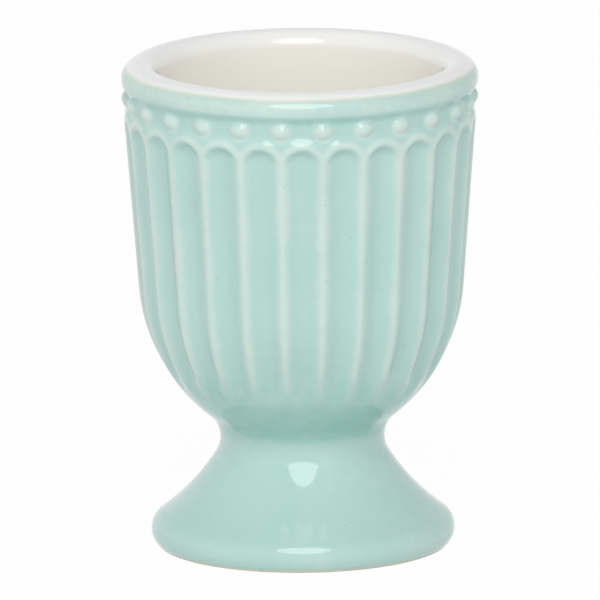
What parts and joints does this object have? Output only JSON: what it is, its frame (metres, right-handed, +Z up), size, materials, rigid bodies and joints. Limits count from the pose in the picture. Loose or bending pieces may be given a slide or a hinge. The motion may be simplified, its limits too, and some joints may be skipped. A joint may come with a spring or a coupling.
{
  "type": "egg cup",
  "caption": "Footed egg cup in glazed stoneware: a fluted bowl with round arches, a beaded band and a rolled white lip, on a flared hollow foot.",
  "frame": {"origin": "middle of the foot's underside, on the plane that the cup stands on", "axes": "+Z up along the axis of the cup; a flute faces -Y, the front, and the cup is turned, so +X is any side"},
  "size_m": [0.0472, 0.0472, 0.065],
  "materials": {
    "mint_glaze": "glossy, paler on the ridges",
    "white_glaze": "glossy",
    "fired_slip": "unglazed, matt"
  },
  "bodies": {
    "root": {"bowl": "mint_glaze", "foot": "mint_glaze", "luting_slip": "fired_slip", "liner_glaze": "white_glaze"}
  },
  "joints": []
}
